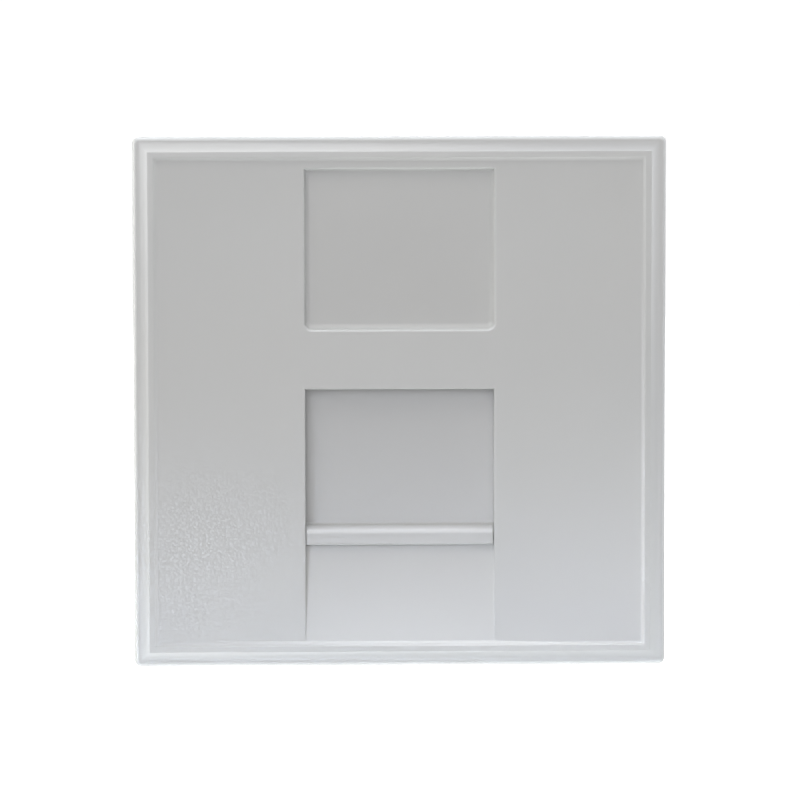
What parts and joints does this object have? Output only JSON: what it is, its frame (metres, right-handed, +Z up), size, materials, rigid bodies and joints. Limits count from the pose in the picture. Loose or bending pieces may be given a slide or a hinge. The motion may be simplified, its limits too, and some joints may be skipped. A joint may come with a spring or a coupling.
{
  "type": "keystone faceplate",
  "caption": "Square snap-in faceplate with a keystone jack opening, a sprung sliding dust shutter and a recessed label field.",
  "frame": {"origin": "centre of the module in its seat plane, where the flange's rear face rests on the mounting frame", "axes": "+X to the right and +Z up as seen from the front, +Y into the wall; the face looks along -Y"},
  "size_m": [0.045, 0.0133, 0.045],
  "materials": {
    "faceplate_plastic": "satin moulded ABS, white",
    "shutter_plastic": "satin moulded ABS, white",
    "spring_steel": "drawn spring wire",
    "carrier_plastic": "satin moulded ABS, white"
  },
  "bodies": {
    "housing": {"faceplate": "faceplate_plastic", "jack_carrier": "carrier_plastic", "shutter_spring": "spring_steel"},
    "slide": {"shutter": "shutter_plastic"}
  },
  "joints": [
    {"name": "shutter_slide", "type": "slide", "parent": "housing", "child": "slide", "axis": [0, 0, 1], "range_m": [0, 0.0116], "stiffness_N_per_m": 185, "springref_m": -0.0025, "deforming": ["shutter_spring"]}
  ]
}
